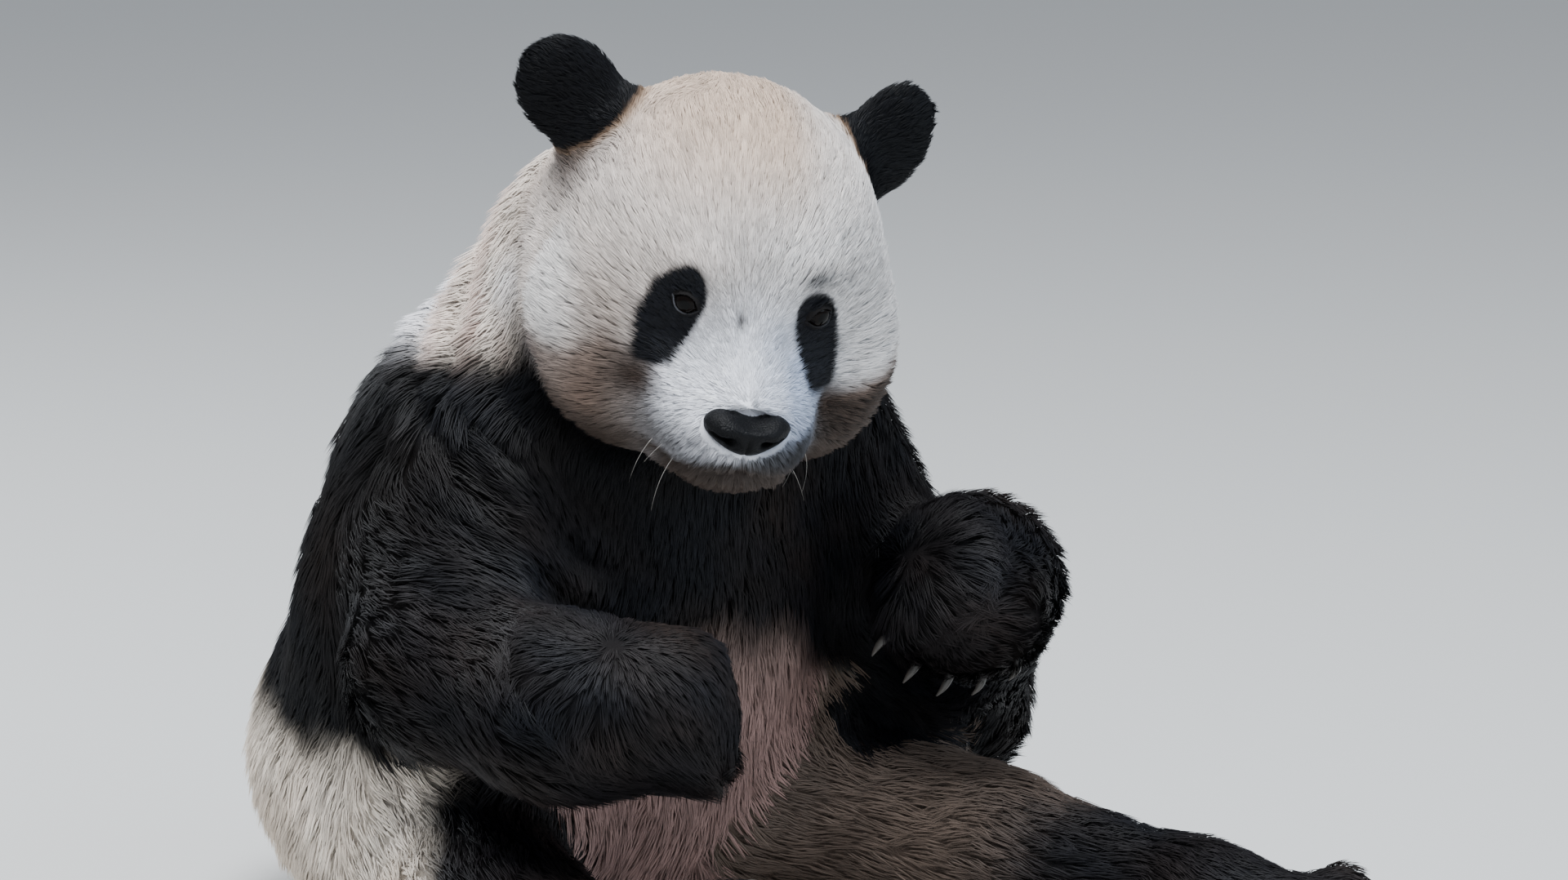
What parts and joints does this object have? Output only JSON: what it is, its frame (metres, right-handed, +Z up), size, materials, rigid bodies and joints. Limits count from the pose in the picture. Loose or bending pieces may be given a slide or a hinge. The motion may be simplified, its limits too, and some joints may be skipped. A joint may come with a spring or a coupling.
{
  "type": "giant panda figure",
  "caption": "Life-size giant panda sitting on its rump with the hind legs out in front, one fist held level and the other hand raised. A still model.",
  "frame": {"origin": "on the floor, in the middle of the flat under the rump", "axes": "+Z up; the animal sits facing -Y, so +X is its left and its hind legs reach towards -Y"},
  "size_m": [0.795, 1.0151, 0.842],
  "materials": {
    "coat_black": "dense black fur, slight sheen",
    "coat_cream": "dense cream-white fur",
    "coat_brown": "thin reddish-brown belly fur",
    "eye": "wet dark-brown eye",
    "nose": "moist black nose leather",
    "horn": "pale grey claw horn"
  },
  "bodies": {
    "root": {"ear_left": "coat_black", "ear_right": "coat_black", "hand_left": "coat_black", "hand_right": "coat_black", "forearm_left": "coat_black", "forearm_right": "coat_black", "upper_arm_left": "coat_black", "upper_arm_right": "coat_black", "foot_left": "coat_black", "foot_right": "coat_black", "shin_left": "coat_black", "shin_right": "coat_black", "thigh_left": "coat_black", "thigh_right": "coat_black", "chest": "coat_black", "head": "coat_cream", "neck": "coat_cream", "pelvis": "coat_cream", "tail": "coat_cream", "abdomen": "coat_brown", "eye_left": "eye", "eye_right": "eye", "nose": "nose", "claw_hand_left_1": "horn", "claw_hand_left_2": "horn", "claw_hand_left_3": "horn", "claw_hand_left_4": "horn", "claw_hand_left_5": "horn", "claw_hand_right_1": "horn", "claw_hand_right_2": "horn", "claw_hand_right_3": "horn", "claw_hand_right_4": "horn", "claw_hand_right_5": "horn", "claw_foot_left_1": "horn", "claw_foot_left_2": "horn", "claw_foot_left_3": "horn", "claw_foot_left_4": "horn", "claw_foot_left_5": "horn", "claw_foot_right_1": "horn", "claw_foot_right_2": "horn", "claw_foot_right_3": "horn", "claw_foot_right_4": "horn", "claw_foot_right_5": "horn"}
  },
  "joints": []
}
